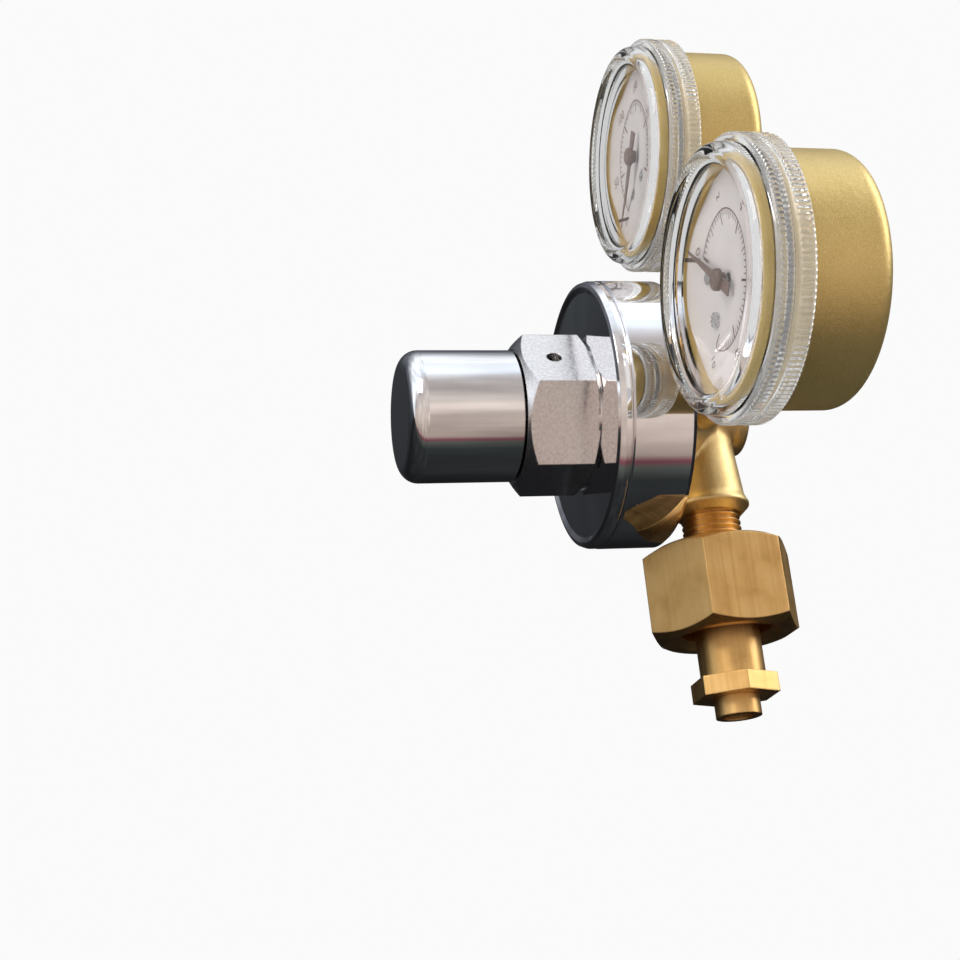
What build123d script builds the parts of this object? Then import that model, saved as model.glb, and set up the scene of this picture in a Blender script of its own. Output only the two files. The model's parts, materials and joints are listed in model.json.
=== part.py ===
"""Two-gauge carbon dioxide pressure regulator, in millimetres.

The origin is the middle of the inlet nipple's nose, where the gas comes in. +Z runs up the
inlet to the body. The body, the bonnet and both dials lie along Y, with the adjusting knob
and the dials facing -Y. The high-pressure gauge stands above the body and the outlet gauge
stands out on the +X side.
"""

from math import atan2, cos, degrees, hypot, radians, sin
import os

from build123d import *

os.makedirs("parts", exist_ok=True)

# Body axis height above the nose, and stations along the axis (Y), front to back
BODY_Z = 70.5
KNOB_FRONT = -69.0
KNOB_REAR = -43.8
HEX_FRONT = -43.5
DISC_FRONT = -27.5
DRUM_FRONT = -24.5
DRUM_REAR = -10.4
BOSS_REAR = 9.7

# Knob and bonnet
KNOB_R = 14.75
KNOB_EDGE_R = 4.0
KNOB_BORE_R = 11.4
HEX_ACROSS_FLATS = 31.6
HEX_TURN = 2.5
BONNET_BORE_R = 12.2
VENT_R = 1.7
VENT_Y = -36.0
DISC_R = 30.2
DRUM_R = 30.3
SPIGOT_R = 28.4
SPIGOT_BORE_R = 20.0
SPIGOT_REAR = -22.9
KEY_WIDTH = 3.0
KEY_DEPTH = 1.3

# Adjusting screw and its carrier
SPINDLE_R = 4.0
THREAD_R = 3.9
COLLAR_R = 6.5
CARRIER_FRONT = -39.5
CARRIER_REAR = -36.0

# Diaphragm and valve
SPRING_SEAT_Y = -25.0
PLATE_R = 17.0
DIAPHRAGM_FRONT = -22.1
DIAPHRAGM_REAR = -21.1
CHAMBER_R = 24.0
CHAMBER_REAR = -17.0
ORIFICE_R = 1.7
PIN_R = 1.2
VALVE_BORE_R = 6.0
SEAT_R = 6.5
SEAT_REAR = -9.6

# Rear forging
BELL_R = 22.0
BOSS_R = 9.4
ARM_FLANGE_R = 9.1
INLET_FACE_Z = -25.0
PORT_FACE = 22.0
PORT_DEPTH = 7.5
NEAR_PORT_Y = -3.7
OUTLET_Y = -3.5
FAR_PORT_Y = 8.0
GAS_WAY_Y = 0.5

# Pipe thread of the inlet and the gauge stems
PIPE_R = 6.58
PIPE_ROOT_R = 5.8
PIPE_PITCH = 1.34

# Inlet nipple and nut, heights above the nose
NOSE_R = 5.0
NOSE_TOP = 4.2
COLLAR_TOP = 8.4
COLLAR_ACROSS_FLATS = 16.8
SHANK_R = 7.1
SHANK_TOP = 37.0
NIPPLE_BORE_R = 3.5
NUT_BOTTOM = 17.6
NUT_TOP = 37.8
NUT_ACROSS_FLATS = 30.0
NUT_TURN = -29.0
NUT_THREAD_R = 9.95
NUT_THREAD_DEPTH = 14.0
NUT_MOUTH_R = 12.0

# Hose tail of the outlet
TAIL_R = 4.7

# Gauges: depths are measured back from the lens front
GAUGE_OFFSET = 67.7
CASE_R = 25.0
CASE_WALL = 1.0
CASE_DEPTH = 28.1
CASE_EDGE_R = 3.6
CASE_FRONT_DEPTH = 7.3
CASE_LIP_DEPTH = 2.5
CASE_LIP_R = 23.5
CASE_LIP_WALL = 0.4
CASE_STEP_T = 1.0
LENS_R = 27.7
LENS_FACE_R = 25.8
LENS_DEPTH = 11.4
STEM_DEPTH = 18.0
NECK_R = 4.7
STEM_SHOULDER = GAUGE_OFFSET - PORT_FACE - 1.6
STEM_END = GAUGE_OFFSET - PORT_FACE + PORT_DEPTH - 0.5
DIAL_R = 23.0
DIAL_DEPTH = 6.0
DIAL_T = 0.4
POINTER_DEPTH = 3.8
POINTER_LENGTH = 18.5
PLATE_DEPTHS = ((7.4, 8.2), (12.2, 13.0))
GEAR_MODULE = 0.3
PINION_TEETH = 10
SECTOR_TEETH = 60
ZERO_ANGLE = 225.0
TUBE_R = 17.0
TUBE_ENDS = (250.0, -25.0)
TAIL_LENGTH = 5.0
TAIL_MEAN_ANGLE = -61.0
SECTOR_SWING = 45.0


# ---------------------------------------------------------------- shared shapes


def export(part, name):
    """Label a finished piece and write it to its own file."""
    part.part.label = name
    export_step(part.part, f"parts/{name}.step")


def turn(plane, points, mode=Mode.ADD):
    """Revolve an outline of (station, radius) points about the plane's own x axis."""
    with BuildSketch(plane) as outline:
        with BuildLine():
            Polyline(*points, close=True)
        make_face()
    revolve(outline.sketch, axis=Axis(plane.origin, plane.x_dir), mode=mode)


def rod(plane, radius, length, mode=Mode.ADD):
    """Extrude a circle from the plane along its normal."""
    with BuildSketch(plane) as circle:
        Circle(radius)
    extrude(circle.sketch, amount=length, mode=mode)


def tube(plane, outer, inner, length, mode=Mode.ADD):
    """Extrude a ring from the plane along its normal."""
    with BuildSketch(plane) as ring:
        Circle(outer)
        Circle(inner, mode=Mode.SUBTRACT)
    extrude(ring.sketch, amount=length, mode=mode)


def slab(plane, points, thickness, mode=Mode.ADD):
    """Extrude a closed outline from the plane along its normal."""
    with BuildSketch(plane) as outline:
        with BuildLine():
            Polyline(*points, close=True)
        make_face()
    extrude(outline.sketch, amount=thickness, mode=mode)


def hexagon(plane, across_flats, length, turn_angle, mode=Mode.ADD):
    """Extrude a hexagon whose first corner stands at turn_angle."""
    with BuildSketch(plane) as outline:
        RegularPolygon(across_flats / 2, 6, major_radius=False, rotation=turn_angle)
    extrude(outline.sketch, amount=length, mode=mode)


def coil(axis_plane, radius, wire, turns, length):
    """A helical spring wound about the plane's normal, starting at its origin."""
    with BuildLine() as path:
        Helix(length / turns, length, radius, axis_plane.origin, axis_plane.z_dir)
    with BuildSketch(Plane(path.line @ 0, z_dir=path.line % 0)) as section:
        Circle(wire / 2)
    sweep(section.sketch, path=path.line, is_frenet=True)


def thread_points(start, end, crest, root, pitch):
    """The zigzag outline of a thread, drawn as closed rings one pitch apart."""
    points = []
    for ring in range(int((end - start) / pitch)):
        low = start + ring * pitch
        points += [(low, root), (low + 0.45 * pitch, crest), (low + 0.55 * pitch, crest)]
    return points + [(start + int((end - start) / pitch) * pitch, root)]


AXIAL = Plane(origin=(0, 0, BODY_Z), x_dir=(0, 1, 0), z_dir=(1, 0, 0))
UPRIGHT = Plane(origin=(0, 0, 0), x_dir=(0, 0, 1), z_dir=(0, 1, 0))


def across(station, x=0.0, z=BODY_Z):
    """A plane square to the body axis, its normal towards +Y and its x axis towards +X."""
    return Plane(origin=(x, station, z), x_dir=(1, 0, 0), z_dir=(0, 1, 0))


# ---------------------------------------------------------------- knob and bonnet

with BuildPart() as knob:
    turn(
        AXIAL,
        [(KNOB_FRONT, 0), (KNOB_FRONT, KNOB_R), (KNOB_REAR, KNOB_R), (KNOB_REAR, 0)],
    )
    fillet(knob.edges().sort_by(Axis.Y)[0], KNOB_EDGE_R)
    chamfer(knob.edges().sort_by(Axis.Y)[-1], 0.4)
    recess_front = KNOB_FRONT + 9.0
    tube(across(recess_front), KNOB_BORE_R, 6.5, KNOB_REAR - recess_front, Mode.SUBTRACT)
    rod(across(KNOB_REAR - 4.0), 7.0, 4.0, Mode.SUBTRACT)
    rod(across(KNOB_FRONT + 5.0), SPINDLE_R, 20.0, Mode.SUBTRACT)
export(knob, "knob")

with BuildPart() as spindle:
    collar_front = HEX_FRONT + 2.6
    rod(across(KNOB_FRONT + 5.0), SPINDLE_R, collar_front - KNOB_FRONT - 5.0)
    rod(across(collar_front), COLLAR_R, 1.2)
    rod(across(collar_front), THREAD_R, 11.5)
    chamfer(spindle.edges().sort_by(Axis.Y)[-1], 0.6)
    clip_groove = across(KNOB_REAR - 1.0)
    tube(clip_groove, SPINDLE_R + 0.1, SPINDLE_R - 0.5, 0.7, Mode.SUBTRACT)
export(spindle, "spindle")

with BuildPart() as spindle_clip:
    with BuildSketch(across(KNOB_REAR - 0.95)):
        Circle(6.2)
        Circle(SPINDLE_R - 0.5, mode=Mode.SUBTRACT)
        with Locations((0, -5.0)):
            Rectangle(4.6, 6.0, mode=Mode.SUBTRACT)
    extrude(amount=0.6)
export(spindle_clip, "spindle_clip")

with BuildPart() as spring_carrier:
    rod(across(CARRIER_FRONT), BONNET_BORE_R - 0.1, CARRIER_REAR - CARRIER_FRONT)
    with BuildSketch(across(CARRIER_FRONT)):
        with Locations((0, BONNET_BORE_R)):
            Rectangle(KEY_WIDTH, 2 * KEY_DEPTH)
    extrude(amount=CARRIER_REAR - CARRIER_FRONT)
    rod(across(CARRIER_REAR), 6.4, 1.2)
    rod(across(CARRIER_FRONT), THREAD_R + 0.08, 6.0, Mode.SUBTRACT)
export(spring_carrier, "spring_carrier")

RANGE_WIRE = 1.7
with BuildPart() as range_spring:
    spring_start = CARRIER_REAR + 0.05 + RANGE_WIRE / 2
    spring_end = SPRING_SEAT_Y - 0.05 - RANGE_WIRE / 2
    coil(across(spring_start), 8.6, RANGE_WIRE, 3.5, spring_end - spring_start)
export(range_spring, "range_spring")

with BuildPart() as bonnet:
    hexagon(across(HEX_FRONT), HEX_ACROSS_FLATS, DISC_FRONT - HEX_FRONT, -HEX_TURN)
    corner_r = HEX_ACROSS_FLATS / 3**0.5
    turn(
        AXIAL,
        [
            (HEX_FRONT, 0),
            (HEX_FRONT, KNOB_R + 0.3),
            (HEX_FRONT + 2.4, corner_r + 0.2),
            (DISC_FRONT - 1.2, corner_r + 0.2),
            (DISC_FRONT, KNOB_R + 1.2),
            (DISC_FRONT, 0),
        ],
        Mode.INTERSECT,
    )
    turn(
        AXIAL,
        [
            (DISC_FRONT + 0.6, 0),
            (DISC_FRONT + 0.6, 16.0),
            (DISC_FRONT, 17.0),
            (DISC_FRONT + 0.5, DISC_R - 2.6),
            (DISC_FRONT - 0.2, DISC_R - 1.4),
            (DISC_FRONT + 0.2, DISC_R - 0.4),
            (DISC_FRONT + 1.4, DISC_R),
            (DRUM_FRONT - 0.5, DISC_R),
            (DRUM_FRONT, DISC_R - 0.5),
            (DRUM_FRONT, SPIGOT_R),
            (SPIGOT_REAR, SPIGOT_R),
            (SPIGOT_REAR, 0),
        ],
    )
    rod(across(DISC_FRONT - 0.6), 15.9, 1.6)
    rod(across(HEX_FRONT + 2.5), BONNET_BORE_R, 20.0, Mode.SUBTRACT)
    rod(across(DISC_FRONT + 1.6), SPIGOT_BORE_R, 5.0, Mode.SUBTRACT)
    rod(across(HEX_FRONT), SPINDLE_R + 0.08, 4.0, Mode.SUBTRACT)
    with BuildSketch(across(HEX_FRONT + 2.5)):
        with Locations((0, BONNET_BORE_R)):
            Rectangle(KEY_WIDTH + 0.2, 2 * KEY_DEPTH + 0.4)
    extrude(amount=20.0, mode=Mode.SUBTRACT)
    vent_angle = radians(HEX_TURN + 30.0)
    vent_out = Vector(cos(vent_angle), 0, sin(vent_angle))
    vent_middle = Vector(0, VENT_Y, BODY_Z)
    rod(Plane(vent_middle + vent_out * 5, z_dir=vent_out), VENT_R, 20.0, Mode.SUBTRACT)
export(bonnet, "bonnet")

# ---------------------------------------------------------------- drum and diaphragm

with BuildPart() as body_drum:
    turn(
        AXIAL,
        [
            (DRUM_FRONT, 0),
            (DRUM_FRONT, DRUM_R - 0.4),
            (DRUM_FRONT + 0.4, DRUM_R),
            (DRUM_REAR - 1.0, DRUM_R),
            (DRUM_REAR, DRUM_R - 0.8),
            (DRUM_REAR, 0),
        ],
    )
    rod(across(DRUM_FRONT), SPIGOT_R + 0.1, DIAPHRAGM_REAR - DRUM_FRONT, Mode.SUBTRACT)
    rod(across(DIAPHRAGM_REAR), CHAMBER_R, CHAMBER_REAR - DIAPHRAGM_REAR, Mode.SUBTRACT)
    rod(across(CHAMBER_REAR), SEAT_R, 10.0, Mode.SUBTRACT)
    rod(across(CHAMBER_REAR, x=18.5), 1.5, 10.0, Mode.SUBTRACT)
    rod(across(CHAMBER_REAR, x=-18.5), 1.5, 10.0, Mode.SUBTRACT)
export(body_drum, "body_drum")

with BuildPart() as slip_ring:
    slip_front = across(SPIGOT_REAR)
    tube(slip_front, SPIGOT_R - 0.1, SPIGOT_BORE_R + 0.5, DIAPHRAGM_FRONT - SPIGOT_REAR)
export(slip_ring, "slip_ring")

with BuildPart() as diaphragm:
    rod(across(DIAPHRAGM_FRONT), SPIGOT_R - 0.1, DIAPHRAGM_REAR - DIAPHRAGM_FRONT)
    rod(across(DIAPHRAGM_FRONT), 2.2, 2.0, Mode.SUBTRACT)
export(diaphragm, "diaphragm")

with BuildPart() as diaphragm_plate:
    rod(across(SPRING_SEAT_Y), PLATE_R, DIAPHRAGM_FRONT - 0.05 - SPRING_SEAT_Y)
    chamfer(diaphragm_plate.edges(), 0.5)
    rod(across(SPRING_SEAT_Y - 1.8), 6.8, 2.0)
    rod(across(SPRING_SEAT_Y - 3.0), 2.0, 8.0, Mode.SUBTRACT)
export(diaphragm_plate, "diaphragm_plate")

with BuildPart() as lift_pin:
    turn(
        AXIAL,
        [
            (SPRING_SEAT_Y - 2.6, 0),
            (SPRING_SEAT_Y - 2.6, 3.2),
            (SPRING_SEAT_Y - 1.8, 3.2),
            (SPRING_SEAT_Y - 1.8, 2.0),
            (DIAPHRAGM_REAR, 2.0),
            (DIAPHRAGM_REAR, 4.5),
            (DIAPHRAGM_REAR + 1.2, 4.5),
            (DIAPHRAGM_REAR + 1.2, PIN_R),
            (SEAT_REAR - 0.1, PIN_R),
            (SEAT_REAR - 0.1, 0),
        ],
    )
export(lift_pin, "lift_pin")

# ---------------------------------------------------------------- valve

with BuildPart() as valve_seat:
    turn(
        AXIAL,
        [
            (CHAMBER_REAR - 1.6, ORIFICE_R),
            (CHAMBER_REAR - 1.6, 8.0),
            (CHAMBER_REAR, 8.0),
            (CHAMBER_REAR, SEAT_R),
            (DRUM_REAR, SEAT_R),
            (DRUM_REAR, VALVE_BORE_R),
            (SEAT_REAR - 0.4, 3.0),
            (SEAT_REAR, 2.4),
            (SEAT_REAR, ORIFICE_R),
        ],
    )
export(valve_seat, "valve_seat")

POPPET_STEM_REAR = 6.0
with BuildPart() as poppet:
    turn(
        AXIAL,
        [
            (SEAT_REAR + 0.02, 0),
            (SEAT_REAR + 0.02, 3.6),
            (SEAT_REAR + 1.2, 4.4),
            (SEAT_REAR + 4.0, 4.4),
            (SEAT_REAR + 4.0, 1.3),
            (POPPET_STEM_REAR, 1.3),
            (POPPET_STEM_REAR, 0),
        ],
    )
export(poppet, "poppet")

POPPET_WIRE = 0.7
PLUG_FRONT = 3.0
with BuildPart() as poppet_spring:
    coil_start = SEAT_REAR + 4.05 + POPPET_WIRE / 2
    coil_end = PLUG_FRONT - 0.05 - POPPET_WIRE / 2
    coil(across(coil_start), 3.0, POPPET_WIRE, 5.0, coil_end - coil_start)
export(poppet_spring, "poppet_spring")

with BuildPart() as rear_plug:
    rod(across(PLUG_FRONT), VALVE_BORE_R - 0.02, BOSS_REAR - 0.4 - PLUG_FRONT)
    chamfer(rear_plug.edges().sort_by(Axis.Y)[-1], 0.4)
    rod(across(PLUG_FRONT), 1.38, 4.0, Mode.SUBTRACT)
    hexagon(across(BOSS_REAR - 2.8), 6.0, 4.0, 0, Mode.SUBTRACT)
export(rear_plug, "rear_plug")

# ---------------------------------------------------------------- rear forging

ARMS = {
    "inlet": ((0, 0, BODY_Z), (0, 0, -1), -INLET_FACE_Z),
    "high": ((0, FAR_PORT_Y, BODY_Z), (0, 0, 1), PORT_FACE),
    "low": ((0, NEAR_PORT_Y, BODY_Z), (1, 0, 0), PORT_FACE),
    "outlet": ((0, OUTLET_Y, BODY_Z), (-1, 0, 0), PORT_FACE),
}


def arm_plane(origin, direction):
    """A plane holding the arm's axis, with its x axis along the arm."""
    return Plane(origin=origin, x_dir=direction, z_dir=(0, 1, 0))


def gusset(origin, direction, face):
    """The web that runs from the bell down to the arm's flange on the drum side."""
    side = Vector(0, 1, 0).cross(Vector(direction))
    plane = Plane(Vector(0, 0, BODY_Z) - side * 5.6, x_dir=direction, z_dir=side)
    flip = 1 if plane.y_dir.Y > 0 else -1
    outline = [(4, DRUM_REAR), (face - 3.4, DRUM_REAR), (face - 3.4, DRUM_REAR + 6.0)]
    outline += [(12.0, origin[1] + 4.6), (4, origin[1] + 4.6)]
    slab(plane, [(out, flip * back) for out, back in outline], 11.2)


with BuildPart() as rear_forging:
    with BuildSketch(AXIAL) as bell:
        with BuildLine():
            Polyline((-4, 0), (DRUM_REAR, 0), (DRUM_REAR, BELL_R), (-9.0, BELL_R))
            ThreePointArc((-9.0, BELL_R), (-4.6, 14.6), (1.5, BOSS_R + 1.0))
            Line((1.5, BOSS_R + 1.0), (1.5, 0))
            Line((1.5, 0), (-4, 0))
        make_face()
    revolve(bell.sketch, axis=Axis(AXIAL.origin, AXIAL.x_dir))
    turn(
        AXIAL,
        [
            (DRUM_REAR + 1, 0),
            (DRUM_REAR + 1, BOSS_R),
            (BOSS_REAR - 2.6, BOSS_R),
            (BOSS_REAR - 2.6, BOSS_R + 0.4),
            (BOSS_REAR - 0.4, BOSS_R + 0.4),
            (BOSS_REAR, BOSS_R),
            (BOSS_REAR, 0),
        ],
    )
    for origin, direction, face in ARMS.values():
        gusset(origin, direction, face)
    for origin, direction, face in ARMS.values():
        turn(
            arm_plane(origin, direction),
            [
                (0, 0),
                (0, 7.4),
                (10.0, 7.4),
                (face - 4.4, 8.3),
                (face - 3.6, 8.5),
                (face - 2.4, ARM_FLANGE_R),
                (face - 1.8, ARM_FLANGE_R),
                (face, PIPE_R + 0.6),
                (face, 0),
            ],
        )
    behind_drum = Plane(origin=(0, DRUM_REAR, 0), z_dir=(0, 1, 0))
    split(bisect_by=behind_drum, keep=Keep.TOP)
    rod(across(DRUM_REAR), VALVE_BORE_R, 30.0, Mode.SUBTRACT)
    for origin, direction, face in ARMS.values():
        mouth = Plane(Vector(origin) + Vector(direction) * face, z_dir=-Vector(direction))
        rod(mouth, PIPE_R + 0.04, PORT_DEPTH + 0.5, Mode.SUBTRACT)
    for key in ("inlet", "high"):
        origin, direction, face = ARMS[key]
        start = (0, min(origin[1], GAS_WAY_Y), BODY_Z)
        rod(Plane(start, z_dir=direction), 2.0, face - PORT_DEPTH, Mode.SUBTRACT)
    for side in (18.5, -18.5):
        rod(across(DRUM_REAR, x=side), 1.5, 6.0, Mode.SUBTRACT)
export(rear_forging, "rear_forging")

# ---------------------------------------------------------------- inlet

with BuildPart() as inlet_nipple:
    thread_end = BODY_Z + INLET_FACE_Z + PORT_DEPTH
    turn(
        UPRIGHT,
        [(0, 0), (0, NOSE_R), (NOSE_TOP, NOSE_R)]
        + [(NOSE_TOP, SHANK_R), (SHANK_TOP - 0.8, SHANK_R), (SHANK_TOP, PIPE_R)]
        + thread_points(SHANK_TOP + 0.3, thread_end, PIPE_R, PIPE_ROOT_R, PIPE_PITCH)
        + [(thread_end, PIPE_ROOT_R), (thread_end, 0)],
    )
    with BuildSketch(Plane.XY.offset(NOSE_TOP)) as collar:
        RegularPolygon(COLLAR_ACROSS_FLATS / 2, 6, major_radius=False, rotation=NUT_TURN + 26)
    extrude(collar.sketch, amount=COLLAR_TOP - NOSE_TOP)
    rod(Plane.XY, NIPPLE_BORE_R, 60.0, Mode.SUBTRACT)
export(inlet_nipple, "inlet_nipple")

with BuildPart() as inlet_filter:
    tube(Plane.XY.offset(44.0), NIPPLE_BORE_R - 0.02, 1.6, 9.0)
    rod(Plane.XY.offset(52.0), NIPPLE_BORE_R - 0.02, 1.5)
export(inlet_filter, "inlet_filter")

with BuildPart() as inlet_nut:
    hexagon(Plane.XY.offset(NUT_BOTTOM), NUT_ACROSS_FLATS, NUT_TOP - NUT_BOTTOM, NUT_TURN)
    nut_corner = NUT_ACROSS_FLATS / 3**0.5
    turn(
        UPRIGHT,
        [
            (NUT_BOTTOM, 0),
            (NUT_BOTTOM, 14.2),
            (NUT_BOTTOM + 1.8, nut_corner + 0.1),
            (NUT_TOP - 1.8, nut_corner + 0.1),
            (NUT_TOP, 14.2),
            (NUT_TOP, 0),
        ],
        Mode.INTERSECT,
    )
    rod(Plane.XY.offset(NUT_BOTTOM), NUT_THREAD_R, NUT_THREAD_DEPTH, Mode.SUBTRACT)
    rod(Plane.XY.offset(NUT_BOTTOM), SHANK_R + 0.08, 30.0, Mode.SUBTRACT)
    turn(
        UPRIGHT,
        [
            (NUT_BOTTOM, 0),
            (NUT_BOTTOM, NUT_MOUTH_R),
            (NUT_BOTTOM + 1.6, NUT_THREAD_R),
            (NUT_BOTTOM + 1.6, 0),
        ],
        Mode.SUBTRACT,
    )
export(inlet_nut, "inlet_nut")

# ---------------------------------------------------------------- outlet

with BuildPart() as outlet_fitting:
    origin, direction, face = ARMS["outlet"]
    line = arm_plane(origin, direction)
    barb = []
    for ring in range(4):
        start = face + 14.2 + 4.2 * ring
        barb += [(start, 4.6), (start + 4.2, 3.7)]
    turn(
        line,
        [(face - PORT_DEPTH + 1, 0), (face - PORT_DEPTH + 1, PIPE_ROOT_R)]
        + thread_points(face - PORT_DEPTH + 1.5, face, PIPE_R, PIPE_ROOT_R, PIPE_PITCH)
        + [(face + 0.4, PIPE_ROOT_R), (face + 0.4, 6.4), (face + 8.0, 6.4), (face + 9.0, TAIL_R)]
        + [(face + 14.0, TAIL_R)]
        + barb
        + [(face + 31.0, 3.2), (face + 31.0, 0)],
    )
    hex_foot = Vector(origin) + Vector(direction) * (face + 0.6)
    hexagon(Plane(hex_foot, x_dir=(0, 0, 1), z_dir=direction), 13.0, 7.0, 0)
    bore_plane = Plane(Vector(origin) + Vector(direction) * 10, z_dir=direction)
    rod(bore_plane, 2.4, 60.0, Mode.SUBTRACT)
export(outlet_fitting, "outlet_fitting")

# ---------------------------------------------------------------- gauges


class Gauge:
    """Places one gauge. Depths run back from the lens front, u and w lie in the dial."""

    def __init__(self, name, centre, port_y, up):
        self.name = name
        self.up = Vector(up)
        self.front = Vector(centre[0], port_y - STEM_DEPTH, centre[1])
        self.right = Vector(0, -1, 0).cross(self.up) * -1

    def face(self, depth, u=0.0, w=0.0):
        """A plane at this depth, with its normal towards the dial's viewer."""
        origin = self.front + Vector(0, depth, 0) + self.right * u + self.up * w
        return Plane(origin, x_dir=self.right, z_dir=(0, -1, 0))

    def section(self):
        """A plane through the gauge axis: x is depth, y is radius."""
        return Plane(self.front, x_dir=(0, 1, 0), z_dir=Vector(0, 1, 0).cross(self.up))

    def stem(self):
        """A plane through the stem's axis: x runs down the stem, y is radius."""
        middle = self.front + Vector(0, STEM_DEPTH, 0)
        return Plane(middle, x_dir=-self.up, z_dir=(0, 1, 0))


PINION_R = GEAR_MODULE * PINION_TEETH / 2
SECTOR_R = GEAR_MODULE * SECTOR_TEETH / 2
SECTOR_W = -(PINION_R + SECTOR_R)
TOOTH_HEIGHT = 0.22
TOOTH_ROOT = 0.34


def tooth(radius, angle, base, top):
    """Four points of one tooth that stands outwards at the angle, in degrees."""
    points = []
    foot = -TOOTH_ROOT - 0.2
    for reach, half in ((foot, -base), (TOOTH_HEIGHT, -top), (TOOTH_HEIGHT, top), (foot, base)):
        points.append((radius + reach, half))
    c, s = cos(radians(angle)), sin(radians(angle))
    return [(r * c - t * s, r * s + t * c) for r, t in points]


def dial_point(radius, clock):
    """(u, w) at a clock angle in degrees from the top of the dial."""
    return radius * sin(radians(clock)), radius * cos(radians(clock))


def make_case(gauge):
    with BuildPart() as case:
        inner = CASE_R - CASE_WALL
        turn(
            gauge.section(),
            [(CASE_FRONT_DEPTH, 0), (CASE_FRONT_DEPTH, CASE_R), (CASE_DEPTH, CASE_R)]
            + [(CASE_DEPTH, 0)],
        )
        fillet(case.edges().sort_by(Axis.Y)[-1], CASE_EDGE_R)
        turn(
            gauge.section(),
            [(0, 0), (0, inner), (CASE_DEPTH - 3.4, inner), (CASE_DEPTH - 1.0, inner - 2.6)]
            + [(CASE_DEPTH - 1.0, 0)],
            Mode.SUBTRACT,
        )
        step = gauge.face(CASE_FRONT_DEPTH + CASE_STEP_T)
        lip_inner = CASE_LIP_R - CASE_LIP_WALL
        tube(step, CASE_R - CASE_WALL / 2, lip_inner, CASE_STEP_T)
        tube(step, CASE_LIP_R, lip_inner, CASE_FRONT_DEPTH + CASE_STEP_T - CASE_LIP_DEPTH)
        stem_hole = Plane(gauge.stem().origin, z_dir=-gauge.up)
        rod(stem_hole, NECK_R, CASE_R + 5.0, Mode.SUBTRACT)
        rod(gauge.face(CASE_DEPTH + 1, w=13.0), 3.5, 5.0, Mode.SUBTRACT)
    export(case, f"{gauge.name}_case")


def make_lens(gauge):
    with BuildPart() as lens:
        turn(
            gauge.section(),
            [
                (1.0, 0),
                (1.0, 22.0),
                (0.3, 22.6),
                (0.0, 23.2),
                (0.0, 24.4),
                (0.5, 25.3),
                (1.5, LENS_FACE_R),
                (3.4, LENS_FACE_R + 0.1),
                (3.8, LENS_R - 0.6),
                (4.2, LENS_R),
                (7.2, LENS_R),
                (7.3, LENS_R - 0.5),
                (7.9, LENS_R - 0.5),
                (8.0, LENS_R),
                (LENS_DEPTH - 0.3, LENS_R),
                (LENS_DEPTH, LENS_R - 0.3),
                (LENS_DEPTH, CASE_R + 0.1),
                (6.5, CASE_R + 0.1),
                (6.5, 23.7),
                (2.2, 23.7),
                (2.2, 0),
            ],
        )
    export(lens, f"{gauge.name}_lens")
    with BuildPart() as seal:
        tube(gauge.face(CASE_FRONT_DEPTH), CASE_R, CASE_R - CASE_WALL, 0.8)
    export(seal, f"{gauge.name}_lens_seal")


def make_dial(gauge):
    holes = [(-4.6, -8.0), (4.6, -8.0)]
    with BuildPart() as dial:
        rod(gauge.face(DIAL_DEPTH + DIAL_T), DIAL_R, DIAL_T)
        rod(gauge.face(DIAL_DEPTH + 1), 1.4, 2.0, Mode.SUBTRACT)
        for u, w in holes:
            rod(gauge.face(DIAL_DEPTH + 1, u, w), 0.8, 2.0, Mode.SUBTRACT)
    export(dial, f"{gauge.name}_dial")
    with BuildPart() as screws:
        for u, w in holes:
            rod(gauge.face(DIAL_DEPTH, u, w), 1.5, 0.8)
            rod(gauge.face(PLATE_DEPTHS[0][1], u, w), 0.78, 2.4)
    export(screws, f"{gauge.name}_dial_screws")
    u, w = dial_point(16.0, ZERO_ANGLE - 4.2)
    with BuildPart() as pin:
        rod(gauge.face(DIAL_DEPTH, u, w), 0.45, 3.4)
    export(pin, f"{gauge.name}_stop_pin")


def make_pointer(gauge):
    tip_u, tip_w = dial_point(POINTER_LENGTH, ZERO_ANGLE)
    tail_u, tail_w = dial_point(-6.0, ZERO_ANGLE)
    side_u, side_w = dial_point(1.0, ZERO_ANGLE + 90.0)
    with BuildPart() as pointer:
        outline = [
            (tip_u + 0.15 * side_u, tip_w + 0.15 * side_w),
            (tail_u + 1.3 * side_u, tail_w + 1.3 * side_w),
            (tail_u - 1.3 * side_u, tail_w - 1.3 * side_w),
            (tip_u - 0.15 * side_u, tip_w - 0.15 * side_w),
        ]
        slab(gauge.face(POINTER_DEPTH + 0.3), outline, 0.3)
        rod(gauge.face(POINTER_DEPTH + 0.3), 2.2, 0.3)
        rod(gauge.face(POINTER_DEPTH + 1.2), 1.5, 1.0)
        rod(gauge.face(POINTER_DEPTH + 2.0), 0.6, 5.0, Mode.SUBTRACT)
    export(pointer, f"{gauge.name}_pointer")
    with BuildPart() as cap:
        rod(gauge.face(POINTER_DEPTH), 2.2, 1.0)
        fillet(cap.edges().sort_by(Axis.Y)[0], 0.8)
        rod(gauge.face(POINTER_DEPTH), 0.6, 0.5, Mode.SUBTRACT)
    export(cap, f"{gauge.name}_hub_cap")
    with BuildPart() as spindle_piece:
        rod(gauge.face(PLATE_DEPTHS[1][1]), 0.6, PLATE_DEPTHS[1][1] - POINTER_DEPTH + 0.4)
        rod(gauge.face(10.2), PINION_R - TOOTH_ROOT, 1.4)
        for index in range(PINION_TEETH):
            angle = 90.0 + 360.0 * (index + 0.5) / PINION_TEETH
            slab(gauge.face(10.2), tooth(PINION_R, angle, 0.2, 0.08), 1.4)
    export(spindle_piece, f"{gauge.name}_pinion")


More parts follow.
